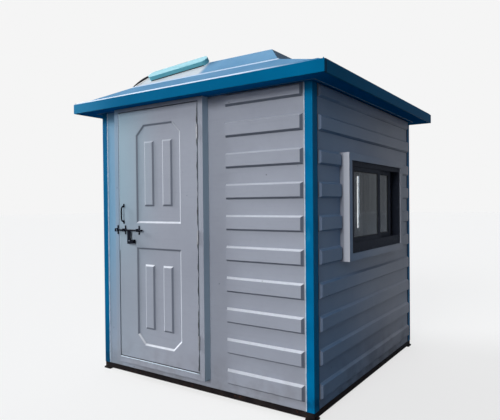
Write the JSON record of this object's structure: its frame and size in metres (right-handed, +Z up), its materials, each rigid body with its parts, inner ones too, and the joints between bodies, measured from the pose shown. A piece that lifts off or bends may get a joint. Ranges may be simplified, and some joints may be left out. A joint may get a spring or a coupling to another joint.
{
  "type": "portable cabin",
  "caption": "Square moulded guard cabin with ribbed walls, a hinged side door, a sliding window, an overhanging hipped roof and a low steel base frame.",
  "frame": {"origin": "at ground level under the middle of the plan", "axes": "+X towards the window wall, +Y from the door side to the back, +Z up"},
  "size_m": [2.13, 2.18, 2.3398],
  "materials": {
    "wall_grey": "moulded glass-fibre gel coat, satin",
    "door_grey": "moulded glass-fibre gel coat, satin",
    "trim_blue": "blue gel coat, gloss",
    "roof_blue": "blue gel coat, gloss",
    "soffit_blue": "blue gel coat, satin",
    "slab_turquoise": "pale turquoise rigid foam or plastic, matt",
    "base_steel": "black enamel on mild steel",
    "floor_board": "resin-coated plywood",
    "black_hardware": "black powder coat",
    "hinge_steel": "dull zinc-plated steel",
    "window_dark": "dark anodised aluminium",
    "window_glass": "clear float glass, lightly tinted"
  },
  "bodies": {
    "root": {"back_wall": "wall_grey", "base_joists": "base_steel", "base_rail_back": "base_steel", "base_rail_front": "base_steel", "base_rail_left": "base_steel", "base_rail_right": "base_steel", "bolt_keeper": "black_hardware", "corner_feet": "base_steel", "corner_post_back_left": "trim_blue", "corner_post_back_right": "trim_blue", "corner_post_front_left": "trim_blue", "corner_post_front_right": "trim_blue", "door_head": "wall_grey", "door_jamb_hinge": "wall_grey", "door_jamb_latch": "wall_grey", "door_sill": "wall_grey", "floor_panel": "floor_board", "front_wall_left": "wall_grey", "front_wall_right": "wall_grey", "front_wall_under_door": "wall_grey", "hinge_pins": "hinge_steel", "hinge_plates_frame": "hinge_steel", "left_wall": "wall_grey", "right_wall_back": "wall_grey", "right_wall_front": "wall_grey", "right_wall_over_window": "wall_grey", "right_wall_under_window": "wall_grey", "roof_cap": "roof_blue", "roof_deck": "soffit_blue", "roof_loose_slab": "slab_turquoise", "window_frame": "window_dark", "window_glass_front": "window_glass", "window_glass_rear": "window_glass", "window_sash_front": "window_dark", "window_sash_rear": "window_dark", "window_surround": "wall_grey"},
    "door": {"door_leaf": "door_grey", "hinge_plates_door": "hinge_steel", "door_pull": "black_hardware", "bolt_guides": "black_hardware"},
    "bolt": {"door_bolt": "black_hardware", "padlock": "black_hardware"}
  },
  "joints": [
    {"name": "door_hinge", "type": "hinge", "parent": "root", "child": "door", "pos_m": [0.096, -1.001, 1.057], "axis": [0, 0, 1], "range_deg": [0, 110]},
    {"name": "bolt_slide", "type": "slide", "parent": "door", "child": "bolt", "axis": [1, 0, 0], "range_m": [-0.027, 0]}
  ]
}
